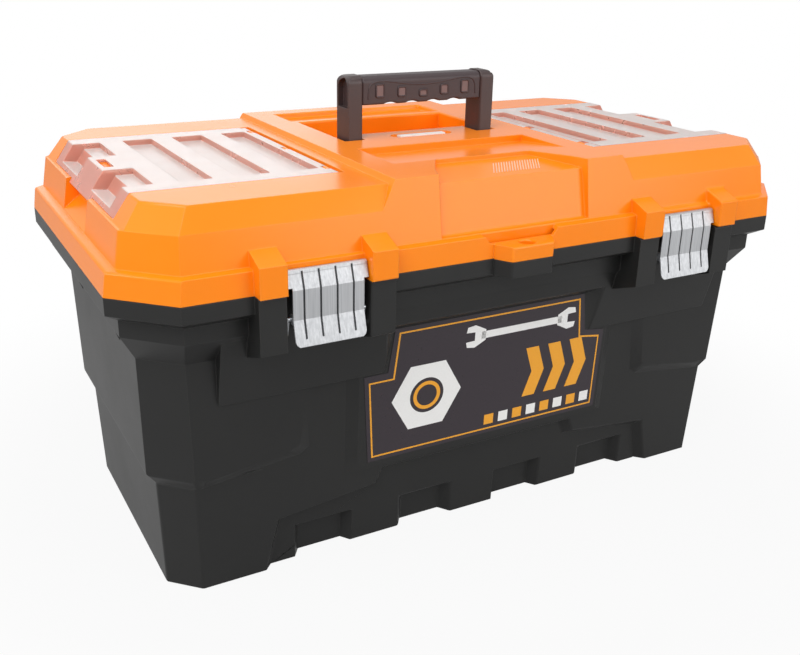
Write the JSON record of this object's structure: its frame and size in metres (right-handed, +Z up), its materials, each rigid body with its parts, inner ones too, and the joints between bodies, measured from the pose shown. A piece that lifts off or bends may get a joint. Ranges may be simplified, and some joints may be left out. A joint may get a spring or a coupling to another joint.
{
  "type": "portable tool box",
  "caption": "Moulded tool box with a hinged organiser lid, folding carry handle, clear flip covers, sprung steel draw latches, a padlock eye and a lift-out tray.",
  "frame": {"origin": "under the middle of the tub, on the floor it stands on", "axes": "+X along the length to the right seen from the latches, -Y towards the latches (front), +Z up"},
  "size_m": [0.585, 0.348, 0.3525],
  "materials": {
    "tub_plastic": "fine satin grain, charcoal polypropylene",
    "lid_plastic": "satin orange polypropylene",
    "cover_clear": "clear moulded polypropylene, slightly milky",
    "divider_plastic": "natural polypropylene",
    "handle_plastic": "satin black-brown polypropylene",
    "grip_rubber": "soft over-moulded grip",
    "pad_rubber": "soft raised inserts",
    "latch_steel": "zinc plated stamped sheet",
    "wire_steel": "zinc plated spring wire",
    "pin_steel": "drawn steel",
    "label_film": null,
    "tray_plastic": "satin charcoal polypropylene"
  },
  "bodies": {
    "base": {"base_tub": "tub_plastic", "front_label": "label_film", "hinge_pin_left": "pin_steel", "hinge_pin_right": "pin_steel"},
    "lid": {"lid_shell": "lid_plastic", "left_divider_1": "divider_plastic", "left_divider_2": "divider_plastic", "left_divider_3": "divider_plastic", "right_divider_1": "divider_plastic", "right_divider_2": "divider_plastic", "right_divider_3": "divider_plastic", "handle_pin_left": "pin_steel", "handle_pin_right": "pin_steel", "left_cover_pin": "pin_steel", "right_cover_pin": "pin_steel", "slot_plate": "divider_plastic"},
    "handle": {"handle_frame": "handle_plastic", "handle_sleeve": "grip_rubber", "handle_grip_pads": "pad_rubber"},
    "left_flap": {"left_cover": "cover_clear"},
    "right_flap": {"right_cover": "cover_clear"},
    "left_bail": {"left_latch_bail": "wire_steel"},
    "right_bail": {"right_latch_bail": "wire_steel"},
    "left_lever": {"left_latch_lever": "latch_steel"},
    "right_lever": {"right_latch_lever": "latch_steel"},
    "tray": {"tote_tray": "tray_plastic", "tray_divider_left": "divider_plastic", "tray_divider_right": "divider_plastic", "tray_carry_bar": "tray_plastic"}
  },
  "joints": [
    {"name": "lid_hinge", "type": "hinge", "parent": "base", "child": "lid", "pos_m": [0, 0.1675, 0.241], "axis": [-1, 0, 0], "range_deg": [0, 100]},
    {"name": "handle_fold", "type": "hinge", "parent": "lid", "child": "handle", "pos_m": [0, -0.001, 0.29], "axis": [-1, 0, 0], "range_deg": [0, 90]},
    {"name": "left_cover_hinge", "type": "hinge", "parent": "lid", "child": "left_flap", "pos_m": [-0.117, 0, 0.2955], "axis": [0, 1, 0], "range_deg": [0, 95]},
    {"name": "right_cover_hinge", "type": "hinge", "parent": "lid", "child": "right_flap", "pos_m": [0.117, 0, 0.2955], "axis": [0, -1, 0], "range_deg": [0, 95]},
    {"name": "left_bail_swing", "type": "hinge", "parent": "base", "child": "left_bail", "pos_m": [-0.1575, -0.158, 0.21], "axis": [1, 0, 0], "range_deg": [0, 70]},
    {"name": "left_lever_pivot", "type": "hinge", "parent": "left_bail", "child": "left_lever", "pos_m": [-0.1575, -0.1615, 0.222], "axis": [1, 0, 0], "range_deg": [0, 60]},
    {"name": "right_bail_swing", "type": "hinge", "parent": "base", "child": "right_bail", "pos_m": [0.1575, -0.158, 0.21], "axis": [1, 0, 0], "range_deg": [0, 70]},
    {"name": "right_lever_pivot", "type": "hinge", "parent": "right_bail", "child": "right_lever", "pos_m": [0.1575, -0.1615, 0.222], "axis": [1, 0, 0], "range_deg": [0, 60]},
    {"name": "tray_lift", "type": "slide", "parent": "base", "child": "tray", "axis": [0, 0, 1], "range_m": [0, 0.028]}
  ],
  "couplings": [
    {"joint": "left_lever_pivot", "follows": "left_bail_swing", "ratio": 0.85714},
    {"joint": "right_lever_pivot", "follows": "right_bail_swing", "ratio": 0.85714}
  ]
}
